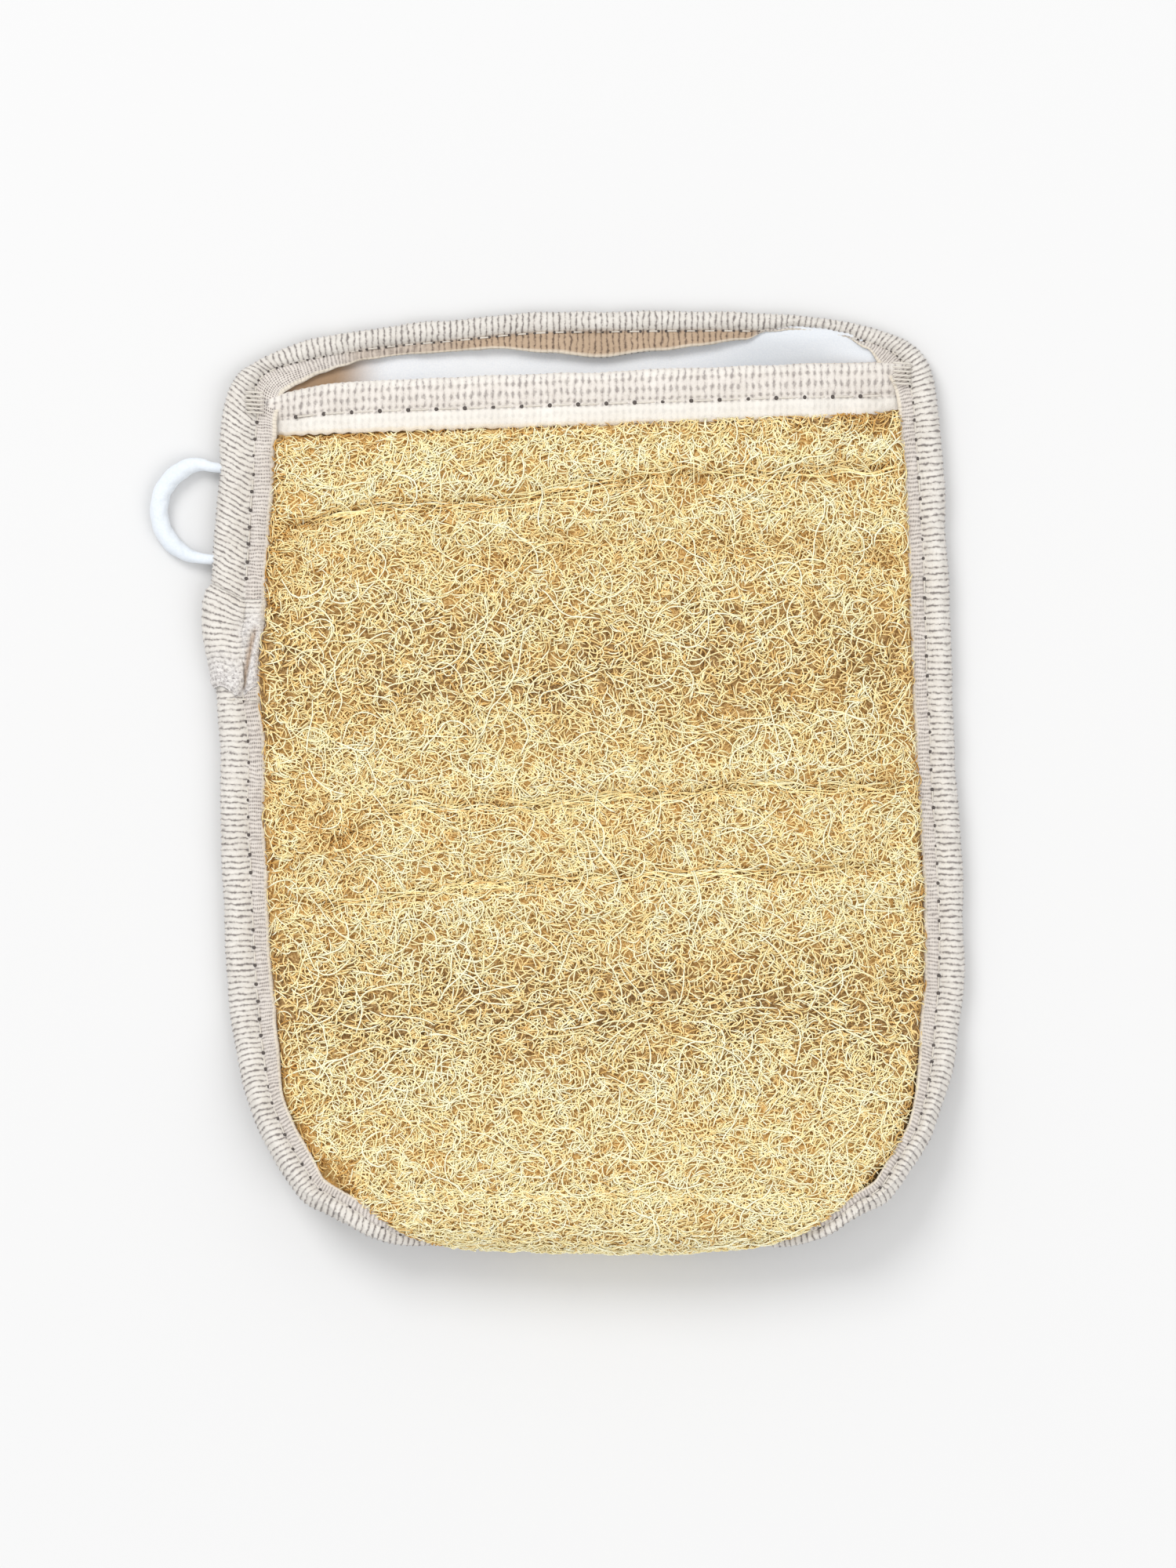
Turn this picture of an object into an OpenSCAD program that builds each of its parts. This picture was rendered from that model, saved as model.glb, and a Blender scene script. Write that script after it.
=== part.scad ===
// Loofah bath mitt: a luffa front and a terry back, lined, and bound round the edge with ribbed tape.
// It lies on its back. X runs across the palm, Y from the closed end to the mouth, and Z up from the surface.

/* [Outline] */
// Half of the width across the palm
half_w = 82.5; // [78:0.5:88]
// Height of the back's top edge above the middle
top_y = 105.2; // [103:0.1:108]
// Height where the front's hem ends and the mouth opens
mouth_y = 90; // [86:0.5:92]
// How much the mouth line climbs from left to right, as a slope
mouth_slope = 0.045; // [0:0.005:0.06]

/* [Layers] */
// Thickness of one layer of the edge tape
tape_t = 0.7; // [0.5:0.05:0.8]
// Width of the tape on each face
tape_w = 10.8; // [9:0.1:10.9]
// Thickness of each lining cloth
lining_t = 0.4; // [0.3:0.05:0.5]
// Thickness of the luffa sheet away from its seams
luffa_t = 6; // [4:0.5:8]
// Height that the front stands off the back in the middle of the pocket
pocket_h = 8; // [6:0.5:10]

/* [Closed end] */
// Length of the slope by which the closed end lifts off the surface
lift_run = 35.56; // [30:0.5:36]
// Angle of that slope
lift_angle = 16; // [10:1:18]

/* [Stitching] */
// Length from one stitch to the next
stitch_pitch = 4.5; // [3:0.5:6]
// Thickness of the sewing thread
thread_d = 0.5; // [0.4:0.05:0.6]

/* [Hanging loop] */
// Diameter of the cord
cord_d = 3.6; // [3:0.1:4]

/* [Hidden] */

// Outline: the straight sides run from low_y to high_y, and superellipse corners close both ends.
low_y = -25;
high_y = 60;
low_h = 91.3;
high_h = top_y - high_y;
low_power = 3;
left_power = 3.3;
right_power = 4.7;
shoulder_taper = 0.025;
skew_top = -1.2;
skew_low = 2.3;
frame_x = -0.3;
frame_y = 0;

// The edge: two faces of tape with four layers of cloth between them.
edge_h = 5.6;
slack = 0.1;
terry_low = 0.8;
terry_high = 2;
puff = 0.8;
hem_lift = 0.6;
hem_leaf = 0.5;
luffa_edge_high = 4.8;

// Insets of the rings that the panels' meshes follow, and the luffa's thickness as a share at each.
rings = [1, 11, 12.5, 15, 18.5, 24, 34, 48, 64];
luffa_shares = [0, 0, 0.5, 0.72, 0.88, 1, 1, 1, 1];

// The closed end lifts on an arc and a slope, then curls down round curl_r.
lift_start = 48.5;
lift_r = 50;
curl_r = 4.5;
curl_end = 96;
mid_z = edge_h / 2;

// The mouth flap turns on a line just beyond the front's hem.
hinge_gap = 2.8;
flap_gap = 5.2;
flap_h = 3.2;

seam_inset = 8;
seam_reach = 7.6;
lap_low = 17;
lap_high = 37;
lap_t = 0.7;

// The cord's route, from the upper end of the loop round to the lower end.
cord_tail = 7;
cord_path = [[-84.4, 70.6, 2.6], [-85.8, 70.9, 2.3], [-87.4, 71, 1.9], [-89.2, 70.5, 1.9],
             [-91, 69.5, 1.9], [-92.7, 68.1, 1.9], [-94.1, 66.4, 1.9], [-95.1, 64.5, 1.9],
             [-95.6, 62.3, 1.9], [-95.7, 60, 1.9], [-95.3, 57.7, 1.9], [-94.4, 55.6, 1.9],
             [-93.1, 53.7, 1.9], [-91.5, 52.2, 1.9], [-89.8, 51.1, 1.9], [-88, 50.4, 2.1],
             [-85.9, 50, 2.6]];

function smooth(t) = let (u = max(0, min(1, t))) u * u * (3 - 2 * u);

// Half of the width at a height, left (side -1) or right (side 1).
function width_at(y, side) =
    let (taper = 1 - shoulder_taper * smooth((y - 35) / 50))
    y > high_y ? let (n = side < 0 ? left_power : right_power)
        half_w * taper * pow(max(0, 1 - pow((y - high_y) / high_h, n)), 1 / n)
    : y > low_y ? half_w * taper
    : half_w * pow(max(0, 1 - pow((low_y - y) / low_h, low_power)), 1 / low_power);

// A point of a superellipse corner at an angle from the X axis.
function corner(angle, a, b, n) =
    let (r = pow(pow(abs(cos(angle)) / a, n) + pow(abs(sin(angle)) / b, n), -1 / n))
    [r * cos(angle), r * sin(angle)];

// The sealed rim, from the mouth's right corner round the closed end to its left corner.
side_heights = [mouth_y, 84, 78, 70, 55, 35, 12, -8];
low_angles = [for (a = [0:6:180]) a];
rim = concat([for (y = side_heights) [width_at(y, 1), y]],
             [for (a = low_angles) let (c = corner(a, half_w, low_h, low_power)) [c[0], low_y - c[1]]],
             [for (i = [len(side_heights) - 1:-1:0]) [-width_at(side_heights[i], -1), side_heights[i]]]);
mouth_steps = 14;
mouth_line = [for (i = [1:mouth_steps - 1])
    [-width_at(mouth_y, -1) + (width_at(mouth_y, -1) + width_at(mouth_y, 1)) * i / mouth_steps, mouth_y]];
panel = concat(rim, mouth_line);

function toward(p, d) =
    [p[0] * (1 - d / half_w),
     low_y + (p[1] - low_y) * (1 - d / (p[1] > low_y ? mouth_y - low_y : low_h))];
function beside(p, d) = [p[0] * (1 - d / half_w), p[1] > low_y ? p[1] : low_y + (p[1] - low_y) * (1 - d / low_h)];

// Distance from the sealed rim, and how far the front stands off the back there.
function rim_distance(p) =
    p[1] > low_y ? width_at(p[1], sign(p[0])) - abs(p[0])
    : half_w * (1 - pow(pow(abs(p[0]) / half_w, low_power) + pow((low_y - p[1]) / low_h, low_power),
                        1 / low_power));
function gape(p) = pocket_h * smooth((rim_distance(p) - 11) / 28) * smooth((p[1] + 80) / 45);
function hem_share(p) = 1 - smooth((mouth_y - p[1] - 11) / 4);

// Heights of the faces between the layers, at ring k.
function front_low(p, k) = terry_high + lining_t + hem_lift * hem_share(p) + (k > 1 ? puff : 0) + gape(p);
function luffa_top(p, k) =
    k > 1 ? front_low(p, k) + lining_t + luffa_t * luffa_shares[k]
    : luffa_edge_high - hem_lift * hem_share(p) + gape(p);

// The closed end's curve: [distance along Y, height, downward angle] at s beyond the lift's start.
lift_len = lift_r * lift_angle * PI / 180;
curl_len = curl_r * (lift_angle + curl_end) * PI / 180;
function curve(s) =
    s < lift_len ? let (a = s / lift_r * 180 / PI) [lift_r * sin(a), lift_r * (1 - cos(a)), -a]
    : s < lift_len + lift_run
        ? [lift_r * sin(lift_angle) + (s - lift_len) * cos(lift_angle),
           lift_r * (1 - cos(lift_angle)) + (s - lift_len) * sin(lift_angle), -lift_angle]
    : let (t = min(curl_end, (s - lift_len - lift_run) / curl_r * 180 / PI - lift_angle),
           past = max(0, s - lift_len - lift_run - curl_len))
      [lift_r * sin(lift_angle) + lift_run * cos(lift_angle) + curl_r * (sin(t) + sin(lift_angle))
           + past * cos(curl_end),
       lift_r * (1 - cos(lift_angle)) + lift_run * sin(lift_angle) - curl_r * (cos(lift_angle) - cos(t))
           - past * sin(curl_end), t];

function skew(y) = skew_top + (skew_low - skew_top) * smooth((45 - y) / 95);
function slant(x, y) = mouth_slope * x * smooth((y - 20) / 70) * smooth((top_y - y) / 14);

// Takes a point of the flat pattern to its place on the mitt.
function place(p) =
    let (s = -lift_start - p[1])
    s > 0 ? let (c = curve(s), up = p[2] - mid_z)
        [p[0] + skew(p[1]) + frame_x, -lift_start - c[0] - up * sin(c[2]) + frame_y,
         mid_z + c[1] + up * cos(c[2])]
    : [p[0] + skew(p[1]) + frame_x, p[1] + slant(p[0], p[1]) + frame_y, p[2]];

// A closed solid between a lower and an upper list of rings, each ring running clockwise from above.
module layer(low, high) {
    n = len(low[0]);
    k = len(low);
    middle = len(low) * n;
    low_hub = 2 * middle;
    high_hub = low_hub + 1;
    function middle_of(ring, c) = let (v = [for (p = ring) p[c]]) (max(v) + min(v)) / 2;
    function hub(ring) = [middle_of(ring, 0), middle_of(ring, 1), ring[0][2]];
    points = concat([for (r = low) each r], [for (r = high) each r], [hub(low[k - 1]), hub(high[k - 1])]);
    faces = concat(
        [for (j = [0:k - 2], i = [0:n - 1]) let (a = j * n + i, b = j * n + (i + 1) % n)
            each [[a, b + n, b], [a, a + n, b + n]]],
        [for (j = [0:k - 2], i = [0:n - 1]) let (a = middle + j * n + i, b = middle + j * n + (i + 1) % n)
            each [[a, b, b + n], [a, b + n, a + n]]],
        [for (i = [0:n - 1]) [(k - 1) * n + i, low_hub, (k - 1) * n + (i + 1) % n]],
        [for (i = [0:n - 1]) [middle + (k - 1) * n + i, middle + (k - 1) * n + (i + 1) % n, high_hub]],
        [for (i = [0:n - 1]) let (b = (i + 1) % n) each [[i, b, middle + b], [i, middle + b, middle + i]]]);
    polyhedron(points, faces);
}

// A closed solid through a row of outlines of as many points, each out along one side and back along the other.
module sweep(outlines) {
    m = len(outlines[0]);
    n = len(outlines);
    faces = concat(
        [for (j = [0:n - 2], i = [0:m - 1]) let (a = j * m + i, b = j * m + (i + 1) % m)
            each [[a, b, b + m], [a, b + m, a + m]]],
        [for (i = [0:m / 2 - 2]) let (q = m - 1 - i) each [[q, i + 1, i], [q, q - 1, i + 1]]],
        [for (i = [0:m / 2 - 2]) let (a = (n - 1) * m + i, q = (n - 1) * m + m - 1 - i)
            each [[a, a + 1, q], [a + 1, q - 1, q]]]);
    polyhedron([for (o = outlines) each o], faces);
}

// A straight six-sided rod between two points.
module rod(a, b, d) {
    v = b - a;
    translate(a)
        rotate([0, acos(v[2] / norm(v)), atan2(v[1], v[0])])
            cylinder(h = norm(v), d = d, $fn = 6);
}

function ring_of(k) = [for (p = panel) toward(p, rings[k])];
function layer_rings(heights) =
    [for (k = [0:len(rings) - 1]) let (r = ring_of(k)) [for (p = r) place([p[0], p[1], heights(p, k)])]];

module luffa_face() {
    color("burlywood")
        layer(layer_rings(function (p, k) front_low(p, k) + lining_t),
              layer_rings(function (p, k) luffa_top(p, k)));
}

module front_lining() {
    color("white")
        layer(layer_rings(function (p, k) front_low(p, k)),
              layer_rings(function (p, k) front_low(p, k) + lining_t));
}

module back_lining() {
    color("white")
        layer(layer_rings(function (p, k) terry_high + (k > 1 ? puff : 0)),
              layer_rings(function (p, k) terry_high + lining_t + (k > 1 ? puff : 0)));
}

module terry_back() {
    color("ivory")
        layer(layer_rings(function (p, k) k > 1 ? 0 : terry_low),
              layer_rings(function (p, k) terry_high + (k > 1 ? puff : 0)));
}

// The folded tape's cross-section: pairs of inset and height.
function tape_section(height, width, t) =
    [[width, 0], [1.2, 0], [0, 1.2], [0, height - 1.2], [1.2, height], [width, height],
     [width, height - t], [1.4, height - t], [0.9, height - t - 0.5], [0.9, t + 0.5], [1.4, t], [width, t]];

module edge_tape() {
    color("linen")
        sweep([for (p = rim) [for (q = tape_section(edge_h, tape_w, tape_t))
            let (b = beside(p, q[0])) place([b[0], b[1], q[1]])]]);
}

// The tape's last end, turned under and sewn over its start on the left side.
module tape_end_lap() {
    heights = [for (i = [0:4]) lap_low + (lap_high - lap_low) * i / 4];
    section = [[tape_w, edge_h + 0.05], [1.2, edge_h + 0.05], [-0.05, edge_h - 1.2], [-0.05, 1.2],
               [-lap_t, 1.2], [-lap_t, edge_h - 1], [1, edge_h + lap_t], [tape_w, edge_h + lap_t]];
    color("linen")
        sweep([for (y = heights) [for (q = section)
            let (b = beside([-width_at(y, -1), y], q[0])) place([b[0], b[1], q[1]])]]);
}

// The hem tape over the front's mouth edge.
module mouth_hem_tape() {
    left = [1.2 - width_at(mouth_y, -1), mouth_y];
    right = [width_at(mouth_y, 1) - 1.2, mouth_y];
    line = concat([left], mouth_line, [right]);
    function at(p, d, z) = let (q = toward(p, d)) place([q[0], q[1], z(q)]);
    under = function (q) front_low(q, 0) - hem_leaf;
    under_in = function (q) front_low(q, 0) - slack;
    fold_low = function (q) front_low(q, 0);
    fold_high = function (q) luffa_top(q, 0);
    over_in = function (q) luffa_top(q, 0) + slack;
    over = function (q) luffa_top(q, 0) + hem_leaf;
    color("linen")
        sweep([for (p = line)
            [at(p, tape_w, under), at(p, -0.1, under), at(p, -0.6, under_in), at(p, -0.6, over_in),
             at(p, -0.1, over), at(p, tape_w, over), at(p, tape_w, over_in), at(p, 0.8, over_in),
             at(p, 0.6, fold_high), at(p, 0.6, fold_low), at(p, 0.8, under_in), at(p, tape_w, under_in)]]);
}

// Points spaced a stitch apart along a list of points.
function lengths(path) = [for (i = 0, t = 0; i < len(path);
    t = t + (i + 1 < len(path) ? norm(path[i + 1] - path[i]) : 0), i = i + 1) t];
function point_at(path, along, d) =
    let (k = min(len(path) - 2, max([for (i = [0:len(path) - 1]) along[i] <= d ? i : 0])),
         span = along[k + 1] - along[k])
    path[k] + (path[k + 1] - path[k]) * (span > 0 ? (d - along[k]) / span : 0);

// A row of stitches along a flat path, each lying at height z.
module stitches(path, z, share = 0.72) {
    along = lengths(path);
    count = floor(along[len(path) - 1] / stitch_pitch);
    for (i = [0:count - 1]) {
        a = point_at(path, along, (i + 0.5 - share / 2) * stitch_pitch);
        b = point_at(path, along, (i + 0.5 + share / 2) * stitch_pitch);
        rod(place([a[0], a[1], z(a)]), place([b[0], b[1], z(b)]), thread_d);
    }
}

edge_seam = [for (p = rim) beside(p, seam_inset)];
module edge_needle_thread() {
    color("whitesmoke") stitches(edge_seam, function (p) edge_h - 0.1);
}
module edge_bobbin_thread() {
    color("whitesmoke") stitches(edge_seam, function (p) 0.3);
}

hem_seam = [for (i = [2:mouth_steps - 2]) toward(mouth_line[i - 1], seam_reach)];
module hem_needle_thread() {
    color("whitesmoke") stitches(hem_seam, function (p) luffa_top(p, 0) + hem_leaf - 0.1);
}
module hem_bobbin_thread() {
    color("whitesmoke") stitches(hem_seam, function (p) front_low(p, 0) - hem_leaf + 0.3);
}

// A dense bar of stitches across the tape at an end of the mouth.
module corner_tack(side) {
    color("whitesmoke")
        for (i = [0:4])
            let (y = mouth_y - 2 - i * 1.1, x = side * (width_at(y, side) - 6.5))
                rod(place([x - 2, y, edge_h]), place([x + 2, y - 0.4, edge_h]), thread_d);
}
module left_corner_tack() { corner_tack(-1); }
module right_corner_tack() { corner_tack(1); }

// The stitches that close the lapped end of the tape.
module lap_tack() {
    color("whitesmoke")
        for (i = [0:2])
            let (y = lap_low + 1.5, x = -width_at(y, -1) + 2.5 + i * 2.6)
                rod(place([x, y, edge_h + lap_t]), place([x + 1.8, y, edge_h + lap_t]), thread_d);
}

// The cord's two ends, pressed flat and sewn in under the tape.
module loop_tails() {
    color("white")
        for (p = [cord_path[0], cord_path[len(cord_path) - 1]])
            let (edge = place([-width_at(p[1], -1), p[1], 0])[0])
                translate([edge - 0.1, p[1] - cord_d / 2, mid_z - 0.6])
                    cube([cord_tail, cord_d, 1.2]);
}

// The back's top edge, beyond the mouth line.
flap_y = mouth_y + flap_gap;
top_angles = [for (a = [180:-6:0]) a];
top_corners = [for (a = top_angles)
    let (n = a > 90 ? left_power : right_power, c = corner(a, half_w, high_h, n),
         y = high_y + c[1], side = a > 90 ? -1 : 1)
    if (y > flap_y + 0.5) [side * width_at(y, side), y]];
top_rim = concat([[-width_at(flap_y, -1), flap_y]], top_corners, [[width_at(flap_y, 1), flap_y]]);
function top_inset(d) = [for (p = top_rim) [p[0] * (1 - d / half_w), max(flap_y, top_y - (top_y - p[1]) - d)]];
function flat_place(points) = [for (p = points) let (q = place([p[0], p[1], 0])) [q[0], q[1]]];
function flipped(points) = [for (i = [len(points) - 1:-1:0]) points[i]];
function flap_lower(d) = [for (i = [10:-1:0])
    [(-width_at(flap_y, -1) + d) + (width_at(flap_y, -1) + width_at(flap_y, 1) - 2 * d) * i / 10, flap_y]];

// Part of the flap between two heights, inside an inset from the top edge.
module flap_slab(low, high, inset) {
    translate([0, 0, low])
        linear_extrude(height = high - low)
            polygon(flat_place(concat(top_inset(inset), flap_lower(inset + 1))));
}

module terry_flap() {
    color("ivory") flap_slab(terry_low, terry_high, 1);
}
module lining_flap() {
    color("white") flap_slab(terry_high, terry_high + lining_t, 1);
}

// The tape over the top edge: two faces and the fold that joins them.
module flap_tape() {
    module band(low, high, inset) {
        translate([0, 0, low])
            linear_extrude(height = high - low)
                polygon(flat_place(concat(top_inset(0), flipped(top_inset(inset)))));
    }
    color("linen")
        union() {
            band(0, tape_t, tape_w - 1);
            band(tape_t, flap_h - tape_t, 0.9);
            band(flap_h - tape_t, flap_h, tape_w - 1);
        }
}

flap_seam = [for (p = top_inset(seam_inset)) if (p[1] > flap_y + 1) p];
module flap_needle_thread() {
    color("whitesmoke") stitches(flap_seam, function (p) flap_h - 0.1);
}
module flap_bobbin_thread() {
    color("whitesmoke") stitches(flap_seam, function (p) 0.3);
}

// The cord of the hanging loop, round its route.
module hang_loop() {
    n = len(cord_path);
    function way(i) = let (v = cord_path[min(n - 1, i + 1)] - cord_path[max(0, i - 1)]) v / norm(v);
    color("white")
        sweep([for (i = [0:n - 1]) let (t = way(i), side = [t[1], -t[0], 0] / norm([t[0], t[1]]),
                                       up = cross(side, t))
            [for (a = [0:45:315]) cord_path[i] + cord_d / 2 * (cos(a) * side + sin(a) * up)]]);
}

luffa_face();
front_lining();
back_lining();
terry_back();
edge_tape();
tape_end_lap();
mouth_hem_tape();
edge_needle_thread();
edge_bobbin_thread();
hem_needle_thread();
hem_bobbin_thread();
left_corner_tack();
right_corner_tack();
lap_tack();
loop_tails();
terry_flap();
lining_flap();
flap_tape();
flap_needle_thread();
flap_bobbin_thread();
hang_loop();
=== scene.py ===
"""A loofah bath mitt lying on its back: luffa front, terry back, lined pocket, ribbed binding, cord loop.

The flat pattern is drawn in millimetres and placed on the mitt by place(), as in the frame.
"""
import math
import random

import bmesh
import bpy
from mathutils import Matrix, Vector, noise


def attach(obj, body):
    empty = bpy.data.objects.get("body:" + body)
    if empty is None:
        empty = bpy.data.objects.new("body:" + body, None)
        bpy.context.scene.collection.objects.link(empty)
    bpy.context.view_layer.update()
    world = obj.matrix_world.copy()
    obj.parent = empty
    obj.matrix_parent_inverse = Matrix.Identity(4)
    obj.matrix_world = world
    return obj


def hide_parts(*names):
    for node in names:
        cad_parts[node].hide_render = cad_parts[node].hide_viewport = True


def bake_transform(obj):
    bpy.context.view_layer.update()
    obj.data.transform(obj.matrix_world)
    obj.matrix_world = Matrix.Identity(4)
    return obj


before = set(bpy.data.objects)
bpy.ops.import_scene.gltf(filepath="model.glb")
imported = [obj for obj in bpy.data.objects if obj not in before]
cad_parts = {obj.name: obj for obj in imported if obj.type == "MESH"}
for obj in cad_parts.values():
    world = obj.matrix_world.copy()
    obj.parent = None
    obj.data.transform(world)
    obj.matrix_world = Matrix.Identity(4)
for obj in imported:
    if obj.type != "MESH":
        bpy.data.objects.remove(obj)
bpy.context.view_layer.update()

MM = 0.001

# ---------------------------------------------------------------- the mitt's pattern, in millimetres

HALF_W = 82.5
TOP_Y = 105.2
MOUTH_Y = 90.0
MOUTH_SLOPE = 0.045
SHOULDER_SLOPE = 0.07
LOW_Y = -25.0
HIGH_Y = 60.0
LOW_H = 90.0
HIGH_H = TOP_Y - HIGH_Y
LOW_POWER = 2.8
LEFT_POWER = 5.4
RIGHT_POWER = 4.7
SHOULDER_TAPER = 0.025
SKEW_TOP = -1.2
SKEW_LOW = 2.3
FRAME_X = -0.3

# The closed end's corners are cut back below CORNER_TOP, but not near the middle.
CORNER_TOP = -94
CORNER_RUN = 20
CORNER_DEPTH = 22.0
CORNER_MIDDLE = 30

LIFT_START = 47.6
LIFT_R = 50.0
LIFT_RUN = 34.3
LIFT_ANGLE = math.radians(16)
CURL_R = 4.5
CURL_END = math.radians(96)
TAIL_GATHER = 0.87
MID_Z = 2.8

TERRY_TOP = 2.0
LINING_T = 0.4
POCKET_H = 8.0


def smooth(t):
    t = max(0.0, min(1.0, t))
    return t * t * (3 - 2 * t)


def mix(a, b, t):
    return a + (b - a) * t


def bump(t):
    """1 at 0, falling smoothly to 0 at -1 and 1."""
    return smooth(1 - abs(t))


def corner_cut(y):
    """How much the closed end's corners are rounded off beyond the plain curve."""
    return CORNER_DEPTH * smooth((CORNER_TOP - y) / CORNER_RUN)


def low_half(y, inset=0.0):
    """Half of the closed end's width at a height, inside a rim of the given inset, with its corners uncut."""
    down = min(1.0, (LOW_Y - y) / (LOW_H - inset))
    return (HALF_W - inset) * (1 - down ** LOW_POWER) ** (1 / LOW_POWER)


def panel_half(y, inset):
    """Half of the width of a panel at a height, on the closed end."""
    half = low_half(y, inset)
    return max(half - corner_cut(y), 0.4 * half)


def width_at(y, side):
    """Half of the width at a height, left (side -1) or right (side 1)."""
    taper = 1 - SHOULDER_TAPER * smooth((y - 35) / 50)
    if y > HIGH_Y:
        power = LEFT_POWER if side < 0 else RIGHT_POWER
        return HALF_W * taper * max(0.0, 1 - ((y - HIGH_Y) / HIGH_H) ** power) ** (1 / power)
    if y > LOW_Y:
        return HALF_W * taper - (0.9 * bump((y - 9) / 17) if side < 0 else 0.0)
    return max(0.0, low_half(y) - corner_cut(y))


def rim_gap(x, y):
    """Distance in from the sealed rim."""
    if y > LOW_Y:
        return width_at(y, -1 if x < 0 else 1) - abs(x)
    x = abs(x) + corner_cut(y) * smooth(abs(x) / CORNER_MIDDLE)
    reach = (x / HALF_W) ** LOW_POWER + ((LOW_Y - y) / LOW_H) ** LOW_POWER
    return HALF_W * (1 - reach ** (1 / LOW_POWER))


def gape(x, y):
    """How far the front stands off the back."""
    return POCKET_H * smooth((rim_gap(x, min(y, MOUTH_Y)) - 11) / 28) * smooth((y + 80) / 45)


def closed_end(s):
    """The closed end's curve: distance along Y, height and downward angle at s beyond the lift's start."""
    rise = LIFT_R * LIFT_ANGLE
    curl = CURL_R * (LIFT_ANGLE + CURL_END)
    if s < rise:
        a = s / LIFT_R
        return LIFT_R * math.sin(a), LIFT_R * (1 - math.cos(a)), -a
    c, d = math.cos(LIFT_ANGLE), math.sin(LIFT_ANGLE)
    y, z = LIFT_R * d, LIFT_R * (1 - c)
    if s < rise + LIFT_RUN:
        t = s - rise
        return y + t * c, z + t * d, -LIFT_ANGLE
    t = min(CURL_END, (s - rise - LIFT_RUN) / CURL_R - LIFT_ANGLE)
    past = max(0.0, s - rise - LIFT_RUN - curl) * TAIL_GATHER
    y += LIFT_RUN * c + CURL_R * (math.sin(t) + d) + past * math.cos(CURL_END)
    z += LIFT_RUN * d - CURL_R * (c - math.cos(t)) - past * math.sin(CURL_END)
    return y, z, t


def place(x, y, z):
    """Takes a point of the flat pattern to its place on the mitt, in metres."""
    px = x + mix(SKEW_TOP, SKEW_LOW, smooth((45 - y) / 95)) + FRAME_X
    s = -LIFT_START - y
    if s > 0:
        along, up, angle = closed_end(s)
        out = z - MID_Z
        py = -LIFT_START - along - out * math.sin(angle)
        return Vector((px, py, MID_Z + up + out * math.cos(angle))) * MM
    right_lean = MOUTH_SLOPE * smooth((TOP_Y - y) / 14)
    left_lean = mix(MOUTH_SLOPE, SHOULDER_SLOPE, smooth((y - 94) / 6))
    lean = x * smooth((y - 20) / 70) * mix(right_lean, left_lean, smooth(-x / 30))
    return Vector((px, y + lean, z)) * MM


def flutter(x, y, size, seed=0.0):
    """Soft unevenness from -1 to 1, with features about size millimetres across."""
    return noise.noise(Vector((x / size, y / size, seed)))


# ---------------------------------------------------------------- building pieces

WELD_GAP = 1e-6


def finish_piece(name, bm, finish, turn_faces=True):
    """Turns a bmesh into a smooth-shaded piece; turn_faces makes all its faces point outwards."""
    if turn_faces:
        bmesh.ops.recalc_face_normals(bm, faces=bm.faces)
        if bm.calc_volume(signed=True) < 0:
            bmesh.ops.reverse_faces(bm, faces=bm.faces)
    mesh = bpy.data.meshes.new(name)
    bm.to_mesh(mesh)
    bm.free()
    mesh.materials.append(finish)
    mesh.polygons.foreach_set("use_smooth", [True] * len(mesh.polygons))
    piece = bpy.data.objects.new(name, mesh)
    bpy.context.scene.collection.objects.link(piece)
    return piece


def add_grid(bm, across, along, shape):
    """Adds a grid whose point (u, v), each from 0 to 1, goes where shape says; its UV map keeps u and v."""
    if not bm.loops.layers.uv:
        bm.loops.layers.uv.new("UVMap")
    made = bmesh.ops.create_grid(bm, x_segments=across, y_segments=along, size=1, calc_uvs=True)
    for vert in made["verts"]:
        vert.co = shape((vert.co.x + 1) / 2, (vert.co.y + 1) / 2)
    return made["verts"]


def weld(bm):
    bmesh.ops.remove_doubles(bm, verts=bm.verts, dist=WELD_GAP)


def open_edges(bm):
    return [edge for edge in bm.edges if edge.is_boundary]


def smooth_point(a, b, c, d, f):
    """A point from b (f = 0) to c (f = 1), on a smooth line that also passes a and d."""
    return tuple(
        0.5 * (2 * q + (r - p) * f + (2 * p - 5 * q + 4 * r - s) * f * f + (3 * q - p - 3 * r + s) * f ** 3)
        for p, q, r, s in zip(a, b, c, d))


def curve_through(points, t):
    """A point on a smooth line through points, at t from 0 to 1."""
    last = len(points) - 1
    k = min(int(t * last), last - 1)
    f = t * last - k
    a, b, c, d = (points[max(0, min(last, k + i))] for i in (-1, 0, 1, 2))
    return smooth_point(a, b, c, d, f)


def ride_flap(piece):
    """The piece crosses the line on which the mouth's flap turns."""
    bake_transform(piece)


def ride_on(piece, body):
    """The piece rides a body, or where body is None it crosses the flap's line."""
    if body:
        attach(piece, body)
    else:
        ride_flap(piece)


# ---------------------------------------------------------------- finishes

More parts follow.
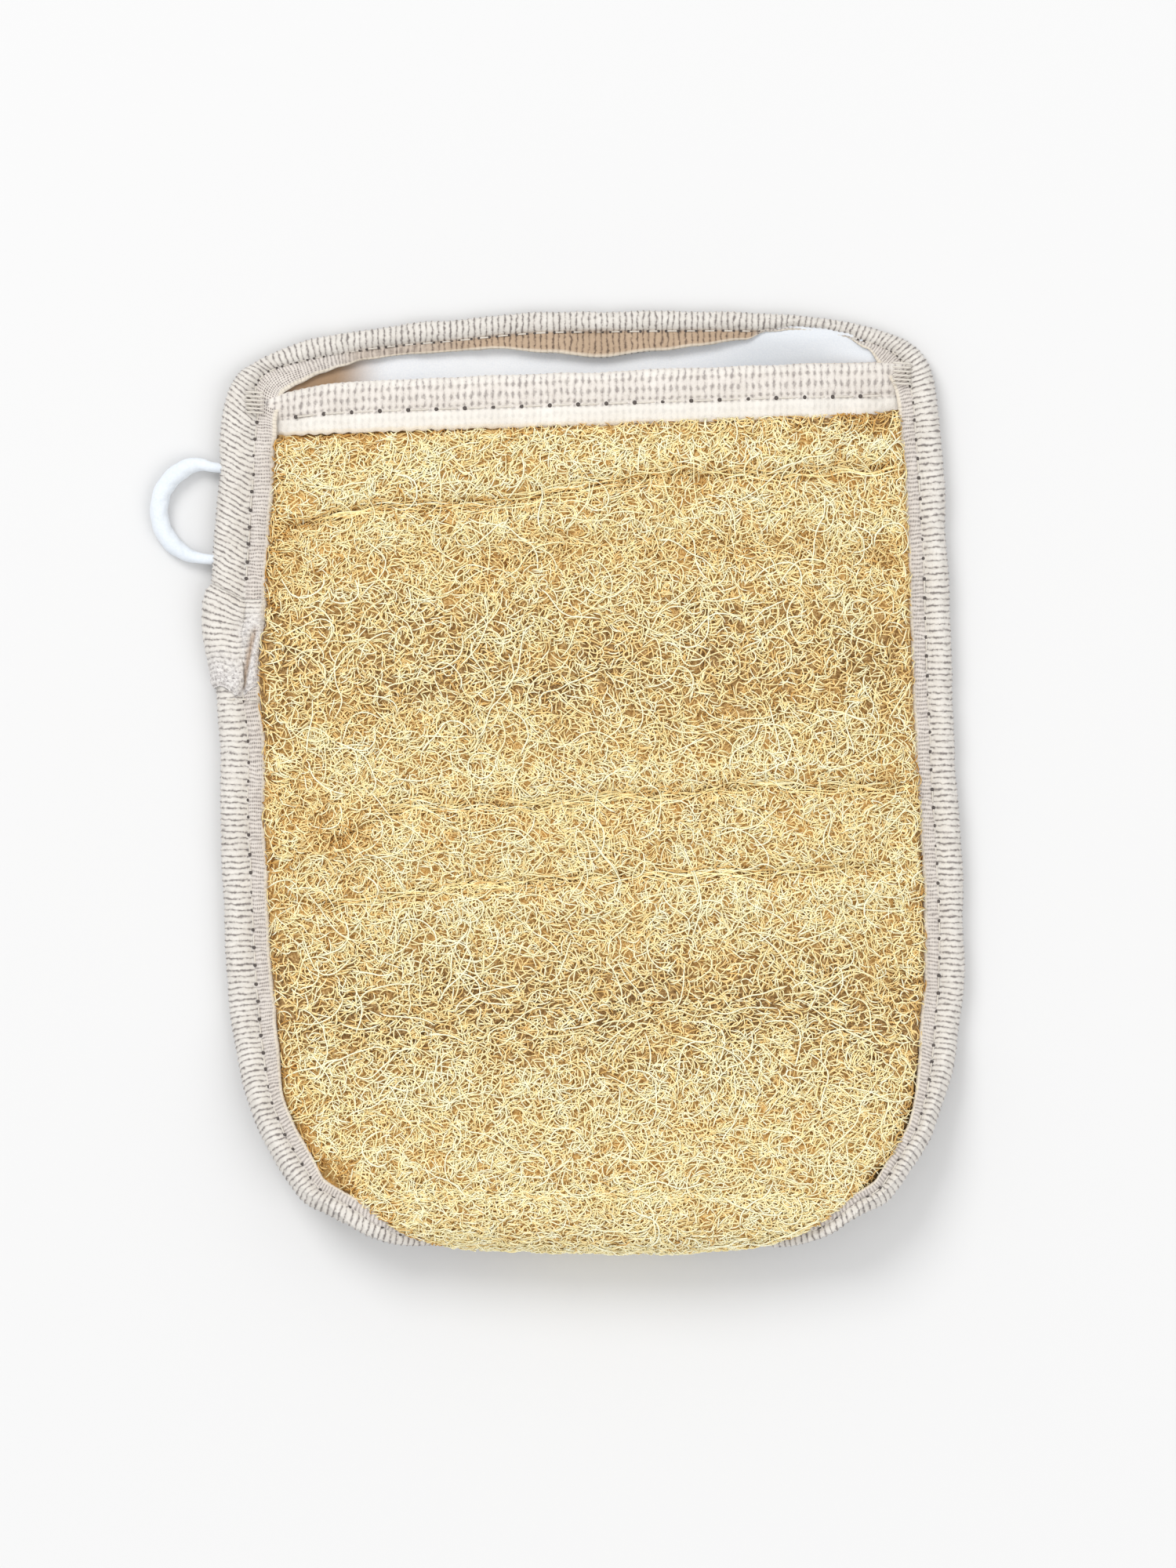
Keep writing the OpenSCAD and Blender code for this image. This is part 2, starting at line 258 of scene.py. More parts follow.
class Finish:
    """A material with its nodes; most of its functions return a socket to link on."""

    def __init__(self, name, colour, roughness, sheen=0.0):
        self.material = bpy.data.materials.new(name)
        self.material.use_nodes = True
        self.tree = self.material.node_tree
        self.shader = self.tree.nodes["Principled BSDF"]
        self.shader.inputs["Base Color"].default_value = (*colour, 1)
        self.shader.inputs["Roughness"].default_value = roughness
        self.shader.inputs["Specular IOR Level"].default_value = 0.25
        if sheen:
            self.shader.inputs["Sheen Weight"].default_value = sheen
            self.shader.inputs["Sheen Roughness"].default_value = 0.5
        self.coords = self.tree.nodes.new("ShaderNodeTexCoord")

    def add(self, kind, inputs=(), out=0, **settings):
        node = self.tree.nodes.new("ShaderNode" + kind)
        for key, value in settings.items():
            setattr(node, key, value)
        for key, value in dict(inputs).items():
            if isinstance(value, bpy.types.NodeSocket):
                self.tree.links.new(value, node.inputs[key])
            else:
                node.inputs[key].default_value = value
        return node.outputs[out]

    def math(self, operation, a, b=0.0):
        return self.add("Math", {0: a, 1: b}, operation=operation)

    def noise(self, scale, detail, rough):
        at = self.coords.outputs["Object"]
        return self.add("TexNoise", {"Vector": at, "Scale": scale, "Detail": detail, "Roughness": rough})

    def attribute(self, name):
        return self.add("Attribute", out=2, attribute_name=name)

    def repeats(self, passed):
        """Falls from 1 to 0 and rises to 1 again each time passed grows by one."""
        from_middle = self.math("SUBTRACT", self.math("FRACT", passed), 0.5)
        return self.math("MULTIPLY", self.math("ABSOLUTE", from_middle), 2.0)

    def ramp(self, factor, stops):
        node = self.tree.nodes.new("ShaderNodeValToRGB")
        self.tree.links.new(factor, node.inputs["Fac"])
        while len(node.color_ramp.elements) < len(stops):
            node.color_ramp.elements.new(0.5)
        for element, (place_on, colour) in zip(node.color_ramp.elements, stops):
            element.position = place_on
            element.color = (*colour, 1)
        return node.outputs["Color"]

    def blend_colours(self, factor, a, b, how="MIX"):
        node = self.tree.nodes.new("ShaderNodeMix")
        node.data_type = "RGBA"
        node.blend_type = how
        for key, value in ((0, factor), (6, a), (7, b)):
            if isinstance(value, bpy.types.NodeSocket):
                self.tree.links.new(value, node.inputs[key])
            else:
                node.inputs[key].default_value = value if key == 0 else (*value, 1)
        return node.outputs[2]

    def colour(self, socket):
        self.tree.links.new(socket, self.shader.inputs["Base Color"])

    def relief(self, height, distance, strength=0.6):
        self.tree.links.new(
            self.add("Bump", {"Height": height, "Distance": distance, "Strength": strength}),
            self.shader.inputs["Normal"])


def rgb(r, g, b):
    """A colour as it looks on screen, from 0 to 255, in the shader's linear numbers."""
    return tuple(((c / 255 + 0.055) / 1.055) ** 2.4 if c > 10 else c / 255 / 12.92 for c in (r, g, b))


def grey(tone):
    return tone, tone, tone


def strand_finish(name, brown, straw, pale):
    """Dried plant fibre: each strand has its own tone, and slightly different patches run over them."""
    finish = Finish(name, straw, 0.55)
    tone = finish.attribute("tone")
    patches = finish.noise(160, 3.0, 0.6)
    fine = finish.noise(1500, 2.0, 0.6)
    uneven = finish.math("MULTIPLY", finish.math("ADD", patches, fine), 0.3)
    total = finish.math("SUBTRACT", finish.math("ADD", tone, uneven), 0.3)
    finish.colour(finish.ramp(total, [(0.0, brown), (0.42, straw), (0.9, pale)]))
    finish.relief(fine, 0.00012, 0.4)
    return finish.material


# Copies of one strand finish, darker for the deeper layers: partly the fibres' own tone, partly painted shade
# for their depth.
LUFFA_TOP = strand_finish("luffa_strands_pale", rgb(216, 166, 90), rgb(255, 238, 178), rgb(255, 252, 222))
LUFFA_MID = strand_finish("luffa_strands_straw_with_depth_shade", rgb(198, 148, 76), rgb(255, 228, 162), rgb(255, 246, 200))
LUFFA_DEEP = strand_finish("luffa_strands_golden_with_depth_shade", rgb(148, 104, 50), rgb(232, 192, 120), rgb(255, 230, 168))


def luffa_ground():
    """The mat behind the strands: golden where it is matted, dark brown where open is high: in the net's
    pores, partly the mat's own colour and partly painted shade of their depth, and as painted shade beside
    the tapes.
    """
    finish = Finish("luffa_matted_ground", rgb(190, 145, 80), 0.8)
    pores_and_painted_shade = finish.attribute("open")
    web = finish.noise(1300, 4.0, 0.7)
    ground = finish.ramp(web, [
        (0.38, rgb(108, 80, 44)), (0.52, rgb(158, 124, 78)), (0.64, rgb(214, 180, 126))])
    matted = finish.ramp(web, [
        (0.36, rgb(176, 128, 64)), (0.5, rgb(222, 178, 108)), (0.64, rgb(244, 212, 148))])
    finish.colour(finish.blend_colours(pores_and_painted_shade, matted, ground))
    finish.relief(web, 0.0006, 0.8)
    return finish.material


LUFFA_GROUND = luffa_ground()


SELVEDGE = 0.03
SELVEDGE_END = 0.045


def ribbed_tape(name, ribs, grid_end, pale_end=0.0, bright=0.95, gap_tone=132, threads=96.0, split=1.5,
                dot_tone=120, grid_share=1.0):
    """Cotton tape: raised cream ribs, thin broken grey gaps of painted shade between them, and a finer dotted
    grid beside the selvedge.

    ribs, threads: how many there are along and across the tape; the grid has split dots for each rib.
    grid_end, pale_end: how far across, from the selvedge, the grid and a whiter stretch reach.
    gap_tone, dot_tone: how light the painted shade in the gaps and the grid's dots are; grid_share is how
    strongly the grid shows.
    """
    def cotton_tone(r, g, b):
        return rgb(r * bright, g * bright, b * bright)

    finish = Finish(name, rgb(232, 227, 218), 0.85, 0.2)
    along = finish.add("SeparateXYZ", {0: finish.coords.outputs["UV"]})
    across = along.node.outputs[1]
    wander = finish.noise(330, 3.0, 0.6)
    patchy = finish.noise(900, 3.0, 0.7)
    mottle = finish.noise(170, 3.0, 0.6)
    ribs_passed = finish.math("ADD", finish.math("MULTIPLY", along, float(ribs)), wander)
    broken = finish.math("MULTIPLY", finish.math("SUBTRACT", patchy, 0.5), 1.5)
    gap = finish.math("ADD", finish.repeats(ribs_passed), broken)
    ribbing = finish.ramp(gap, [
        (0.25, cotton_tone(242, 238, 231)), (0.62, cotton_tone(228, 223, 216)),
        (0.84, cotton_tone(gap_tone + 54, gap_tone + 48, gap_tone + 43)),
        (1.0, rgb(gap_tone, gap_tone - 6, gap_tone - 9))])
    threads_passed = finish.math("MULTIPLY", across, threads)
    cross = finish.repeats(finish.math("ADD", threads_passed, finish.math("MULTIPLY", wander, 0.6)))
    half = finish.repeats(finish.math("MULTIPLY", ribs_passed, split))
    dots = finish.math("ADD", finish.math("MULTIPLY", cross, half), finish.math("MULTIPLY", patchy, 0.9))
    grid = finish.ramp(dots, [
        (0.5, cotton_tone(236, 229, 222)), (0.8, cotton_tone(216, 208, 201)),
        (1.15, rgb(dot_tone, dot_tone - 8, dot_tone - 12))])
    in_grid = finish.ramp(across, [
        (0.0, grey(0)), (SELVEDGE, grey(0)), (SELVEDGE_END, grey(1)),
        (grid_end - 0.015, grey(1)), (grid_end, grey(0))])
    shade = finish.attribute("shade")
    in_grid = finish.math("MULTIPLY", in_grid, finish.math("SUBTRACT", grid_share, shade))
    woven = finish.blend_colours(in_grid, ribbing, grid)
    if pale_end:
        in_pale = finish.ramp(across, [(0.0, grey(0.75)), (pale_end - 0.02, grey(0.75)), (pale_end, grey(0))])
        woven = finish.blend_colours(in_pale, woven, rgb(237, 234, 227))
    edge = finish.ramp(across, [(0.0, grey(0.7)), (SELVEDGE, grey(0.7)), (SELVEDGE_END, grey(0))])
    woven = finish.blend_colours(edge, woven, rgb(236, 226, 208))
    woven = finish.blend_colours(finish.math("MULTIPLY", mottle, 0.5), woven, rgb(204, 197, 190), "MULTIPLY")
    grain = finish.ramp(finish.noise(1500, 3.0, 0.7), [
        (0.34, rgb(138, 133, 131)), (0.46, rgb(196, 191, 189)), (0.62, rgb(228, 225, 221))])
    woven = finish.blend_colours(finish.attribute("worn"), woven, grain)
    # The shade attribute darkens the tape brownish with painted shade.
    finish.colour(finish.blend_colours(shade, woven, rgb(212, 189, 166), "MULTIPLY"))
    height = finish.math("SUBTRACT", finish.math("MULTIPLY", cross, 0.25), gap)
    finish.relief(height, 0.00022, 0.6)
    return finish.material


def cotton(name, colour, dark, weave, depth, sheen=0.2):
    """Plain-woven cloth, or soft spun yarn, with a fine weave and faint unevenness; two attributes darken it
    with painted shade, one brownish and one bluish.
    """
    finish = Finish(name, colour, 0.9, sheen)
    soft = finish.noise(45, 3.0, 0.55)
    fine = finish.noise(weave, 2.0, 0.6)
    shade = finish.attribute("shade")
    cloth = finish.blend_colours(finish.math("MULTIPLY", soft, fine), colour, dark)
    cool_painted_shade = finish.attribute("cool_painted_shade")
    cloth = finish.blend_colours(cool_painted_shade, cloth, rgb(231, 233, 235), "MULTIPLY")
    finish.colour(finish.blend_colours(shade, cloth, rgb(184, 152, 120), "MULTIPLY"))
    finish.relief(fine, depth, 0.5)
    return finish.material


LINING = cotton("white_lining_cloth", rgb(246, 246, 246), rgb(206, 214, 226), 2600, 0.00008)
TERRY = cotton("terry_pile", rgb(243, 238, 228), rgb(196, 186, 170), 900, 0.0006)
THREAD = cotton("spun_thread", rgb(226, 220, 210), rgb(150, 142, 130), 3000, 0.0001)
HOLE = cotton("needle_hole_shade", rgb(92, 85, 82), rgb(60, 56, 52), 2000, 0.00005, 0.0)
CORD = cotton("twisted_cord_yarn", rgb(228, 232, 236), rgb(190, 202, 216), 1500, 0.0001)

# ---------------------------------------------------------------- luffa front

LEAF_LEFT_HIGH = 12.3
LEAF_LEFT_LOW = 10.0
LEAF_RIGHT = 8.9
LEAF_END_LEFT = 7.3
LEAF_END_RIGHT = 5.4
HEM_W = 11.6

# Folds in the luffa: each is a line of places along it, its height, its breadth, and how golden it is; the
# tint is browner along grooves and paler on ridges, partly the fibres' colour and partly painted shade.
FOLDS = [
    ([(-70, 57), (-61, 59), (-48, 62.5), (-17, 62.5), (1, 66), (17, 67), (72, 67.5)], -1.5, 2.6, 0.55),
    ([(-70, 62), (-61, 64), (-48, 67), (-17, 67.5), (1, 71), (17, 72), (72, 72)], 0.9, 4.5, -0.15),
    ([(-70, 46), (-40, 50), (0, 52), (40, 52), (72, 48)], -0.9, 6.0, 0.25),
    ([(-72, 22), (-20, 10), (20, 14), (74, 24)], -0.4, 7.0, 0.1),
    ([(-55, -12.7), (-46, -7.4), (-37, -5.9), (-12, -5.3), (1, -3.9), (22, -2.4), (32, -0.8), (74, -1.3)],
     -1.5, 2.2, 0.5),
    ([(-30, 0), (1, 0.5), (22, 2.4), (32, 4), (74, 3.2)], 0.9, 3.4, -0.05),
    ([(-70, -12), (-60, -15), (-48, -14), (-30, -13), (20, -11), (60, -12)], 1.3, 6.5, 0.08),
    ([(-70, -26), (-61, -27.5), (-47, -26), (-33, -23.5), (-10, -21.5), (14, -20.5), (40, -20), (60, -19)],
     -1.5, 2.4, 0.4),
    ([(-70, -31), (-47, -30.5), (-31, -27.5), (4, -27), (16, -28), (50, -25), (74, -22)], 1.1, 4.0, -0.12),
    ([(-64, -66), (-20, -71), (20, -70), (66, -64)], 0.8, 8.0, -0.12),
    ([(-60, -88), (60, -88)], 0.5, 6.0, -0.05)]
# Golden smooth patches: middle, reach across and along, and strength.
GOLDEN = [
    (-62, -6, 12, 7, 0.3), (-54, -13, 10, 6, 0.25), (-58, -22, 13, 5, 0.3), (-66, 52, 7, 5, 0.35),
    (-20, 47, 12, 5, 0.25), (30, 50, 16, 4, 0.2), (66, 1, 7, 4, 0.3), (-55, 15, 9, 6, 0.2),
    (-64, 60, 5, 3, 0.35), (-50, 73, 5, 3, 0.15), (10, 10, 14, 6, 0.12), (63, 78, 8, 3, 0.6)]


def fold_line(line, x):
    """Height of a fold's line at x, and how much of it is there."""
    if x <= line[0][0] - 6 or x >= line[-1][0] + 6:
        return 0.0, 0.0
    share = smooth((x - line[0][0]) / 6 + 1) * smooth((line[-1][0] - x) / 6 + 1)
    for (x0, y0), (x1, y1) in zip(line, line[1:]):
        if x <= x1:
            break
    t = max(0.0, min(1.0, (x - x0) / (x1 - x0)))
    return mix(y0, y1, t) + 0.9 * flutter(x, y0, 9, 5.0), share


def golden(x, y):
    """How golden and smooth the luffa is; along the folds this tint is partly the fibres' colour and partly
    painted shade, browner in grooves and paler on ridges.
    """
    tint = 0.25 * max(0.0, flutter(x, y * 1.7, 15, 14.0))
    for mx, my, across, along, strength in GOLDEN:
        r = ((x - mx) / across) ** 2 + ((y - my) / along) ** 2
        if r < 1:
            tint += strength * smooth(1 - r)
    for line, _, breadth, strength in FOLDS:
        line_y, share = fold_line(line, x)
        if share and abs(y - line_y) < breadth:
            tint += strength * share * bump((y - line_y) / breadth)
    return tint


def leaf(x, y):
    """Width of the edge tape's leaf on the front, near a point of the rim."""
    left = mix(LEAF_LEFT_LOW, LEAF_LEFT_HIGH, smooth((y - 22) / 18))
    left = mix(LEAF_END_LEFT, left, smooth((y + 84) / 34))
    right = mix(LEAF_END_RIGHT, LEAF_RIGHT, smooth((y + 84) / 34))
    narrowed = mix(0.5, 1.0, smooth((y + 110) / 22))
    return narrowed * mix(left, right, smooth((x + 40) / 80)) + 0.3 * flutter(x, y, 7, 41.0)


def relief(x, y):
    """The luffa's folds and lumps, as a height in millimetres."""
    lift = 0.8 * flutter(x, y * 1.6, 22, 3.0) + 0.55 * flutter(x, y, 7, 9.0) + 0.3 * flutter(x, y, 3, 10.0)
    for line, height, breadth, _ in FOLDS:
        line_y, share = fold_line(line, x)
        if share:
            lift += height * share * bump((y - line_y) / breadth)
    return lift


def luffa_edge(x, y):
    """Distance in from the edge of the luffa that shows beside the tapes."""
    return min(rim_gap(x, y) - leaf(x, y) + 0.6, MOUTH_Y + 1 - y - HEM_W + 0.6)


def luffa_top(x, y):
    """Height of the luffa's face above the back."""
    edge = luffa_edge(x, y)
    low = TERRY_TOP + LINING_T + 0.6 + gape(x, y)
    thickness = 1.7 + 2.6 * smooth((edge + 0.4) / 2.4) + 2.1 * smooth(edge / 13) - 1.2 * smooth((-86 - y) / 9)
    return low + LINING_T + thickness + relief(x, y) * smooth((edge - 0.5) / 6)


# The stretch of the pattern that tabulate() covers, in millimetres.
TABLE_LEFT = -86
TABLE_LOW = -118
TABLE_COLUMNS = 173
TABLE_ROWS = 216


def tabulate(amount):
    """Works a function of the pattern out once, every millimetre; reading between them is quick."""
    def worked_out(x, y):
        return amount(x, y) if luffa_edge(x, y) > -4 else 0.0

    table = [[worked_out(TABLE_LEFT + i, TABLE_LOW + j) for j in range(TABLE_ROWS)]
             for i in range(TABLE_COLUMNS)]

    def read(x, y):
        fi, fj = x - TABLE_LEFT, y - TABLE_LOW
        i, j = int(fi), int(fj)
        a, b = fi - i, fj - j
        near, far = table[i], table[i + 1]
        return (near[j] * (1 - b) + near[j + 1] * b) * (1 - a) + (far[j] * (1 - b) + far[j + 1] * b) * a
    return read


luffa_height = tabulate(luffa_top)
tint_at = tabulate(golden)


def pores(x, y):
    """Where the net is open (towards 1) or matted (towards 0)."""
    bands = 0.9 * bump((y - 26) / 30) + bump((y + 51) / 28)
    return max(0.0, min(1.0, bands + 0.5 * flutter(x, y * 1.4, 12, 21.0) - tint_at(x, y)))


def luffa_outline_point(a, b, inset):
    """A point of the luffa's panel: a from -1 to 1 across, b from 0 at the mouth to 1 at the closed end."""
    length = (LOW_H - inset) * 0.992
    if b < 0.55:
        y = mix(MOUTH_Y - 8.0, LOW_Y, b / 0.55)
    else:
        y = LOW_Y - length * math.sin((b - 0.55) / 0.45 * math.pi / 2)
    half = width_at(y, -1 if a < 0 else 1) - inset if y > LOW_Y else panel_half(y, inset)
    return a * half, y


PAD_ACROSS = 130
PAD_ALONG = 156
PAD_INSET = 4.6


def make_luffa_pad():
    """The matted body of the luffa, under its loose strands."""
    bm = bmesh.new()

    def surface(u, v):
        x, y = luffa_outline_point(2 * u - 1, v, PAD_INSET)
        return x, y, luffa_top(x, y) - 0.8 - 0.5 * smooth(1.2 - luffa_edge(x, y))

    def top(u, v):
        return place(*surface(u, v))

    def under(u, v):
        x, y, z = surface(u, v)
        if 1e-6 < u < 1 - 1e-6 and 1e-6 < v < 1 - 1e-6:
            z = TERRY_TOP + 2 * LINING_T + 0.7 + gape(x, y)
        return place(x, y, z)

    pores_and_edge_shade = bm.verts.layers.float.new("open")
    for vert in add_grid(bm, PAD_ACROSS, PAD_ALONG, top):
        x, y = max(-85, min(85, vert.co.x / MM)), vert.co.y / MM
        # open: the net's pores, and painted shade in the last millimetres beside the tapes
        vert[pores_and_edge_shade] = max(pores(x, y), smooth((1.7 - luffa_edge(x, y)) / 1.2))
    add_grid(bm, PAD_ACROSS, PAD_ALONG, under)
    weld(bm)
    piece = finish_piece("luffa_pad", bm, LUFFA_GROUND)
    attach(piece, "mitt")
    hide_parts("luffa_face")


def bead_outline(sides, size):
    """A small closed outline, used as the section of fine strands."""
    line = bpy.data.curves.new("section", "CURVE")
    line.dimensions = "2D"
    spline = line.splines.new("POLY")
    spline.points.add(sides - 1)
    for k in range(sides):
        angle = -math.tau * k / sides
        spline.points[k].co = (size * math.cos(angle), size * math.sin(angle), 0, 1)
    spline.use_cyclic_u = True
    holder = bpy.data.objects.new("section", line)
    bpy.context.scene.collection.objects.link(holder)
    return holder


def tube_mesh(name, line):
    """The mesh of a curve's tubes, still open at their ends."""
    holder = bpy.data.objects.new(name + "_line", line)
    bpy.context.scene.collection.objects.link(holder)
    bpy.context.view_layer.update()
    mesh = bpy.data.meshes.new_from_object(holder.evaluated_get(bpy.context.evaluated_depsgraph_get()))
    bpy.data.objects.remove(holder)
    return mesh


def closed_ends(mesh):
    bm = bmesh.new()
    bm.from_mesh(mesh)
    bmesh.ops.edgeloop_fill(bm, edges=open_edges(bm))
    return bm


def strand_piece(name, runs, thickness, finish):
    """One piece of luffa strands: each run is its points and its tone, from 0, brown, to 1, pale."""
    section = bead_outline(3, thickness * 0.55 * MM)
    line = bpy.data.curves.new(name, "CURVE")
    line.dimensions = "3D"
    line.bevel_mode = "OBJECT"
    line.bevel_object = section
    for points, _ in runs:
        spline = line.splines.new("POLY")
        spline.points.add(len(points) - 1)
        spline.points.foreach_set("co", [c for p in points for c in (*p, 1.0)])
        radii = [1.0] * len(points)
        radii[0] = radii[-1] = 0.5
        spline.points.foreach_set("radius", radii)
    mesh = tube_mesh(name, line)
    bpy.data.objects.remove(section)
    per_point = len(mesh.vertices) // sum(len(points) for points, _ in runs)
    tones = [tone for points, tone in runs for _ in range(len(points) * per_point)]
    mesh.attributes.new("tone", "FLOAT", "POINT").data.foreach_set("value", tones)
    piece = finish_piece(name, closed_ends(mesh), finish, turn_faces=False)
    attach(piece, "mitt")
    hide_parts("luffa_face")


def strand_tone(dice, x, y):
    """Paler in the middle, browner on golden patches and along the folds, and darkened with painted shade in
    the last millimetres beside the tapes.
    """
    edge = luffa_edge(x, y)
    # beside is painted shade on the strands next to the tapes
    beside = smooth((1.9 - edge) / 1.6) * (1.5 if x < 0 else 1.0) + 0.7 * smooth((0.8 - edge) / 0.7)
    return min(1.0, max(0.0, dice.gauss(0.66, 0.2) - 0.85 * tint_at(x, y) - 0.42 * beside))


def run_strand(dice, x, y, heading, turn, curl, steps, step, lift, swing):
    """A curly strand on the luffa's face, from a start and a heading."""
    wave = dice.uniform(0, math.tau)
    points = []
    for k in range(steps):
        if luffa_edge(x, y) < mix(-0.15, -0.7, smooth((-62 - y) / 20)) or y < LOW_Y - LOW_H + 1.5:
            break
        points.append(place(x, y, luffa_height(x, y) + lift + swing * math.sin(wave + 1.3 * k)))
        turn = 0.8 * turn + dice.gauss(0, curl)
        heading += turn * step
        x += step * math.cos(heading)
        y += step * math.sin(heading) * mix(1.0, 0.38, smooth((-93 - y) / 4))
    return points


CURL_SHARE = 0.13  # more strands start where the closed end's curl spreads them out


def wander_strand(dice, lift, swing, thin_out):
    """A short strand anywhere on the luffa; fewer start where the net is open."""
    x = dice.uniform(-HALF_W, HALF_W)
    y = dice.uniform(LOW_Y - LOW_H, MOUTH_Y)
    if dice.random() < CURL_SHARE:
        y = dice.uniform(LOW_Y - LOW_H, -94)
    if luffa_edge(x, y) < 0.0 or dice.random() < thin_out * pores(x, y):
        return None
    level = mix(0.3, 0.5, smooth((-80 - y) / 14))
    heading = dice.gauss(0, 0.5) if dice.random() < level else dice.uniform(0, math.tau)
    curl = mix(0.2, 0.36, dice.random())
    turn = dice.gauss(0, 0.42)
    points = run_strand(dice, x, y, heading, turn, curl, 6, dice.uniform(0.55, 0.95), lift, swing)
    return (points, strand_tone(dice, x, y)) if len(points) > 3 else None


# Strands from the deepest up: name, pieces, strands in each, thickness, lift, swing, how much open pores
# thin them out, and finish.
STRAND_LAYERS = [
    ("luffa_strands_low", 2, 5350, 0.40, -0.6, 0.15, 0.0, LUFFA_DEEP),
    ("luffa_strands_middle", 3, 5350, 0.34, -0.25, 0.2, 0.55, LUFFA_MID),
    ("luffa_strands_upper", 3, 5350, 0.29, 0.08, 0.22, 0.6, LUFFA_TOP)]


def make_strands():
    dice = random.Random(11)
    for name, pieces, count, thickness, lift, swing, thin_out, finish in STRAND_LAYERS:
        for part in range(pieces):
            runs = []
            while len(runs) < count:
                strand = wander_strand(dice, lift + dice.gauss(0, 0.1), swing, thin_out)
                if strand:
                    runs.append(strand)
            strand_piece(f"{name}_{part + 1}", runs, thickness, finish)


FOLD_STRANDS = 46
LONG_STRANDS = 560


def make_long_strands():
    """Long strands: bundles that follow the folds, and a few stray ones."""
    dice = random.Random(23)
    runs = []
    for line, _, _, strength in FOLDS:
        if strength < 0.35:
            continue
        for _ in range(FOLD_STRANDS):
            x = dice.uniform(line[0][0] + 4, line[-1][0] - 14)
            offset = dice.gauss(0, 0.8)
            points = []
            for k in range(dice.randint(9, 16)):
                y = fold_line(line, x)[0] + offset + 0.5 * math.sin(0.7 * k + offset)
                if luffa_edge(x, y) < 0.3:
                    break
                points.append(place(x, y, luffa_height(x, y) + 0.12 + 0.2 * dice.random()))
                x += 1.3
            if len(points) > 5:
                runs.append((points, min(1.0, max(0.1, dice.gauss(0.4, 0.2)))))
    while len(runs) < LONG_STRANDS:
        x, y = dice.uniform(-70, 72), dice.uniform(-105, 76)
        if luffa_edge(x, y) < 3:
            continue
        heading = dice.gauss(0, 0.6) if dice.random() < 0.5 else dice.uniform(0, math.tau)
        points = run_strand(dice, x, y, heading, dice.gauss(0, 0.1), 0.12, dice.randint(9, 16), 1.2, 0.3, 0.2)
        if len(points) > 5:
            runs.append((points, dice.uniform(0.55, 1.0)))
    strand_piece("luffa_long_strands", runs, 0.34, LUFFA_TOP)


make_luffa_pad()
make_strands()
make_long_strands()

# ---------------------------------------------------------------- edge binding

RIB_PITCH = 1.35
SAMPLES = 4
START_Y = 26
CORNER_STEPS = 240


def outline_points():
    """The whole outline of the back, clockwise from above, starting on the left under the tape's lap."""
    points = []

    def side(low, high, which):
        steps = int(abs(high - low) / 1.0) + 1
        for k in range(steps):
            y = mix(low, high, k / steps)
            points.append((which * width_at(y, which), y))

    def corner(angle, a, b, power):
        c, s = math.cos(angle), math.sin(angle)
        r = (abs(c / a) ** power + abs(s / b) ** power) ** (-1 / power)
        return r * c, r * s

    side(START_Y, HIGH_Y, -1)
    for k in range(CORNER_STEPS):
        angle = math.pi * (1 - k / CORNER_STEPS)
        which = -1 if k < CORNER_STEPS / 2 else 1
        x, up = corner(angle, HALF_W, HIGH_H, LEFT_POWER if which < 0 else RIGHT_POWER)
        y = HIGH_Y + up
        x = which * width_at(y, which) if up < HIGH_H * 0.995 else x * (1 - SHOULDER_TAPER)
        points.append((x, y))
    side(HIGH_Y, LOW_Y, 1)
    for k in range(CORNER_STEPS):
        x, down = corner(math.pi * k / CORNER_STEPS, HALF_W, LOW_H, LOW_POWER)
        y = LOW_Y - down
        cut = corner_cut(y) * smooth(abs(x) / CORNER_MIDDLE)
        points.append((x - math.copysign(cut, x), y))
    side(LOW_Y, START_Y, -1)
    return points


def even_stations(points, count):
    """Places spaced evenly round a closed line, each with its inward direction."""
    ring = [Vector(p) for p in points]
    lengths = [0.0]
    for k, p in enumerate(ring):
        lengths.append(lengths[-1] + (ring[(k + 1) % len(ring)] - p).length)
    total = lengths[-1]
    spots = []
    k = 0
    for i in range(count):
        s = total * i / count
        while lengths[k + 1] < s:
            k += 1
        f = (s - lengths[k]) / max(1e-9, lengths[k + 1] - lengths[k])
        spots.append(ring[k].lerp(ring[(k + 1) % len(ring)], f))
    stations = []
    reach = 10
    for i, p in enumerate(spots):
        way = (spots[(i + reach) % count] - spots[i - reach]).normalized()
        stations.append((p, Vector((way.y, -way.x))))
    return stations, total


OUTLINE = outline_points()
_, RIM_LENGTH = even_stations(OUTLINE, 100)
RIB_COUNT = round(RIM_LENGTH / RIB_PITCH)
STATIONS, _ = even_stations(OUTLINE, RIB_COUNT * SAMPLES)
FRONT_END = 0.5


def curve_round(points, t):
    """A point on a smooth closed line through points, at t from 0 to 1."""
    count = len(points)
    k = int(t * count) % count
    f = t * count - int(t * count)
    a, b, c, d = (points[(k + i) % count] for i in (-1, 0, 1, 2))
    return smooth_point(a, b, c, d, f)


def section_point(section, v, lift):
    """A point of a tape's closed section, lifted off its skin."""
    d, z = curve_round(section, v % 1.0)
    d2, z2 = curve_round(section, (v + 0.012) % 1.0)
    d0, z0 = curve_round(section, (v - 0.012) % 1.0)
    way = Vector((d2 - d0, z2 - z0))
    out = Vector((way.y, -way.x)).normalized() if way.length > 1e-9 else Vector((0, 1))
    return d + out.x * lift, z + out.y * lift


def front_share(v):
    """1 on the tape's upper skin, and on its selvedge from either side; 0 on the hidden skins."""
    return smooth((FRONT_END + 0.05 - v) / 0.05) + smooth((v - 0.97) / 0.03)


